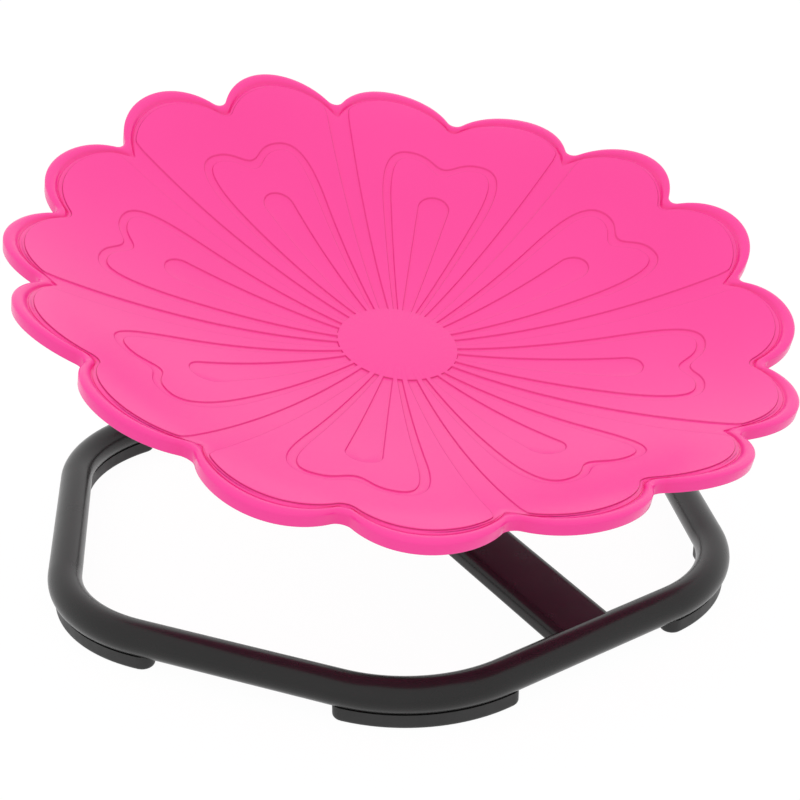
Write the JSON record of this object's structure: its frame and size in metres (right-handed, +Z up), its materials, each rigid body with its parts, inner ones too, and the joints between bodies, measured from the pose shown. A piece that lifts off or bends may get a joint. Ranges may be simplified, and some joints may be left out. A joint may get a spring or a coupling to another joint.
{
  "type": "toddler spinning seat",
  "caption": "Low toddler spinner: a scalloped flower-shaped dish seat that spins freely on a tilted ball-bearing spindle over a hexagonal tube floor frame with rubber feet.",
  "frame": {"origin": "on the floor, under the centre of the hexagonal base ring", "axes": "+Z up; the crossbar runs along Y; the seat's low side faces -Y and its spin axis leans 15 degrees towards -Y; two corners of the ring lie on the X axis"},
  "size_m": [0.5742, 0.573, 0.3144],
  "materials": {
    "seat_plastic": "bright pink moulded plastic, satin",
    "frame_coat": "dark charcoal powder coat, satin",
    "foot_rubber": "black moulded rubber, matt",
    "bearing_steel": "ground bearing steel",
    "zinc_plate": "bright zinc plate",
    "cage_brass": "machined brass",
    "seal_rubber": "black nitrile"
  },
  "bodies": {
    "base": {"base_ring": "frame_coat", "crossbar": "frame_coat", "foot_1": "foot_rubber", "foot_2": "foot_rubber", "foot_3": "foot_rubber", "foot_4": "foot_rubber", "foot_5": "foot_rubber", "foot_6": "foot_rubber", "foot_screws": "zinc_plate", "pivot_post": "frame_coat", "spindle": "bearing_steel", "bearing_spacer": "bearing_steel", "spindle_washer": "zinc_plate", "lock_nut": "zinc_plate", "lower_inner_race": "bearing_steel", "upper_inner_race": "bearing_steel"},
    "seat": {"seat_shell": "seat_plastic", "flange_plate": "zinc_plate", "flange_washers": "zinc_plate", "flange_screws": "zinc_plate", "bearing_hub": "frame_coat", "lower_outer_race": "bearing_steel", "upper_outer_race": "bearing_steel", "lower_seals": "seal_rubber", "upper_seals": "seal_rubber"},
    "lower_ball_set": {"lower_ball_cage": "cage_brass", "lower_balls": "bearing_steel"},
    "upper_ball_set": {"upper_ball_cage": "cage_brass", "upper_balls": "bearing_steel"}
  },
  "joints": [
    {"name": "seat_spin", "type": "hinge", "parent": "base", "child": "seat", "pos_m": [0, 0, 0.0871], "axis": [0, -0.2588, 0.9659], "continuous": true},
    {"name": "lower_balls_roll", "type": "hinge", "parent": "base", "child": "lower_ball_set", "pos_m": [0, 0, 0.0871], "axis": [0, -0.2588, 0.9659], "continuous": true},
    {"name": "upper_balls_roll", "type": "hinge", "parent": "base", "child": "upper_ball_set", "pos_m": [0, 0, 0.0871], "axis": [0, -0.2588, 0.9659], "continuous": true}
  ],
  "couplings": [
    {"joint": "lower_balls_roll", "follows": "seat_spin", "ratio": 0.61791},
    {"joint": "upper_balls_roll", "follows": "seat_spin", "ratio": 0.61791}
  ]
}
